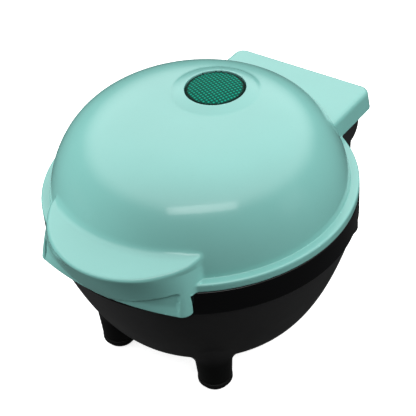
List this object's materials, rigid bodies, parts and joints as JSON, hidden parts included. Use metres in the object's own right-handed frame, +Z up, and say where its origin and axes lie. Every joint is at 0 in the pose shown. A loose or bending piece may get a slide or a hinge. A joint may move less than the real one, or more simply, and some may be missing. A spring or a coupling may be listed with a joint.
{
  "type": "donut maker",
  "caption": "Small round countertop donut maker with a domed hinged lid, green indicator lens, crescent handle and baking plates on a bowl-shaped base with peg feet.",
  "frame": {"origin": "on the table, midway between the handle's front and the hinge hood's rear, 3.6 mm behind the axis of the round body", "axes": "+X to the right of a user who faces the handle, +Y from the handle to the hinge, +Z up"},
  "size_m": [0.146, 0.1752, 0.1246],
  "materials": {
    "teal_plastic": "high gloss moulded",
    "gloss_black_plastic": "gloss moulded",
    "charcoal_plastic": "semi-gloss moulded",
    "black_plastic": "matt moulded",
    "black_rubber": "matt",
    "green_lens": "clear green plastic with a prism grid on its back",
    "nonstick_coating": "die-cast with a dark non-stick coating",
    "plated_steel": "zinc or nickel plated",
    "reflector_sheet": "pressed aluminised sheet",
    "white_ceramic": "unglazed steatite",
    "lamp_glass": "clear glass",
    "silicone_wire": "silicone sleeve"
  },
  "bodies": {
    "base": {"base_bowl": "charcoal_plastic", "base_band": "gloss_black_plastic", "hinge_bracket": "charcoal_plastic", "hinge_pin": "plated_steel", "bracket_screw_left": "plated_steel", "bracket_screw_right": "plated_steel", "heel_screw": "plated_steel", "cord_bushing": "black_rubber", "foot_pad_front_left": "black_rubber", "foot_pad_front_right": "black_rubber", "foot_pad_rear_left": "black_rubber", "foot_pad_rear_right": "black_rubber", "lower_baking_plate": "nonstick_coating", "lower_heating_element": "plated_steel", "lower_reflector": "reflector_sheet", "lower_plate_screw_1": "plated_steel", "lower_plate_screw_2": "plated_steel", "lower_plate_screw_3": "plated_steel", "terminal_block": "white_ceramic", "thermostat": "plated_steel", "thermal_fuse": "white_ceramic", "supply_lead_live": "silicone_wire", "supply_lead_neutral": "silicone_wire", "element_lead": "silicone_wire", "thermostat_lead": "silicone_wire"},
    "lid": {"lid_shell": "teal_plastic", "indicator_lens": "green_lens", "lens_clip_ring": "black_plastic", "lamp_holder": "white_ceramic", "indicator_lamp": "lamp_glass", "upper_baking_plate": "nonstick_coating", "upper_heating_element": "plated_steel", "upper_carrier_pan": "reflector_sheet", "upper_plate_screw_1": "plated_steel", "upper_plate_screw_2": "plated_steel", "upper_plate_screw_3": "plated_steel", "lamp_lead": "silicone_wire"}
  },
  "joints": [
    {"name": "lid_hinge", "type": "hinge", "parent": "base", "child": "lid", "pos_m": [0, 0.07157, 0.0779], "axis": [-1, 0, 0], "range_deg": [0, 100]}
  ]
}
